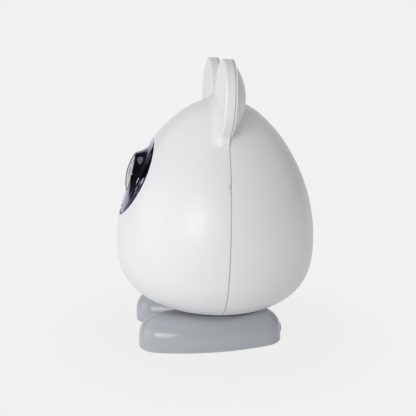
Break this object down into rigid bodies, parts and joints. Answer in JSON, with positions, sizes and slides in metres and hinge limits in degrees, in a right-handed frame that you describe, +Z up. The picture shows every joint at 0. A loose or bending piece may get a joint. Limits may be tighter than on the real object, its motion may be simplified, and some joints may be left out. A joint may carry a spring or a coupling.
{
  "type": "treat tossing pet camera",
  "caption": "Egg-shaped pet camera with round ears that turns on two feet, stores treats behind a pull-off rear cover and throws them from a sprung front flap.",
  "frame": {"origin": "on the floor under the centre of the egg's widest level", "axes": "+Z up, the camera looks to -Y, +X is the object's left"},
  "size_m": [0.156, 0.1561, 0.2183],
  "materials": {
    "white_shell": "satin moulded ABS",
    "grey_foot": "satin moulded ABS",
    "dark_plastic": "moulded ABS",
    "rubber_pad": "matt silicone rubber",
    "black_gloss": "polished polycarbonate",
    "lamp_lens": "clear dark epoxy",
    "front_glass": "clear cover glass",
    "black_matte": "moulded",
    "lens_eye": "coated lens",
    "board": "solder resist",
    "metal_can": "drawn can",
    "steel": "plated",
    "hopper_plastic": "moulded",
    "frame_plastic": "moulded ABS",
    "drum_plastic": "moulded ABS",
    "gear_plastic": "moulded acetal"
  },
  "bodies": {
    "base": {"base_frame": "dark_plastic", "left_foot": "grey_foot", "right_foot": "grey_foot", "foot_pads": "rubber_pad", "base_screws": "steel", "ballast_plates": "steel", "pan_ring_gear": "gear_plastic", "gear_screws": "steel", "power_inlet": "black_matte", "button_switch": "black_matte"},
    "button": {"power_button": "grey_foot", "button_spring": "steel"},
    "cover": {"rear_cover": "white_shell", "cover_magnets": "steel"},
    "flap": {"outlet_flap": "white_shell"},
    "drum": {"portion_drum": "drum_plastic", "drum_shaft": "steel"},
    "kicker": {"kicker_hub": "dark_plastic", "kicker_paddles": "rubber_pad", "kicker_shaft": "steel"},
    "pinion": {"pan_pinion": "gear_plastic"},
    "head": {"board_chips": "black_matte", "board_screws": "steel", "camera_board": "board", "camera_eye": "lens_eye", "camera_lens": "black_matte", "camera_tube": "black_matte", "catch_plates": "steel", "drum_end_plate": "frame_plastic", "drum_gearmotor": "metal_can", "drum_housing": "frame_plastic", "face_bezel": "black_gloss", "flap_pin": "steel", "flap_spring": "steel", "front_shell": "white_shell", "head_base": "white_shell", "hopper": "hopper_plastic", "hopper_seal": "rubber_pad", "inner_frame": "frame_plastic", "ir_led_board": "board", "ir_leds": "lamp_lens", "kicker_motor": "metal_can", "launch_housing": "frame_plastic", "launch_side_plate": "frame_plastic", "lens_cover_glass": "front_glass", "lens_holder": "black_matte", "lens_surround": "black_matte", "main_board": "board", "microphone": "metal_can", "motor_bracket": "steel", "pan_bearing": "gear_plastic", "pan_motor": "metal_can", "shell_screws": "steel", "speaker": "black_matte", "status_window": "lamp_lens"}
  },
  "joints": [
    {"name": "head_pan", "type": "hinge", "parent": "base", "child": "head", "pos_m": [0, 0, 0.0777], "axis": [0, 0.0436, 0.999], "range_deg": [-90, 90]},
    {"name": "cover_pull", "type": "slide", "parent": "head", "child": "cover", "axis": [0, 0.9954, 0.0958], "range_m": [0, 0.11]},
    {"name": "flap_swing", "type": "hinge", "parent": "head", "child": "flap", "pos_m": [0, -0.07438, 0.08896], "axis": [-1, 0, 0], "range_deg": [0, 70], "stiffness_Nm_per_rad": 0.002, "springref_deg": -20.05},
    {"name": "drum_spin", "type": "hinge", "parent": "head", "child": "drum", "pos_m": [0, 0.01516, 0.10406], "axis": [1, 0, 0], "continuous": true},
    {"name": "kicker_spin", "type": "hinge", "parent": "head", "child": "kicker", "pos_m": [0, -0.01277, 0.06024], "axis": [1, 0, 0], "continuous": true},
    {"name": "pinion_spin", "type": "hinge", "parent": "head", "child": "pinion", "pos_m": [0, 0.02823, 0.02842], "axis": [0, 0.0436, 0.999], "range_deg": [-360, 360]},
    {"name": "button_press", "type": "slide", "parent": "base", "child": "button", "axis": [0.041, -0.9992, 0], "range_m": [0, 0.001], "stiffness_N_per_m": 300}
  ],
  "couplings": [
    {"joint": "pinion_spin", "follows": "head_pan", "ratio": 4}
  ]
}
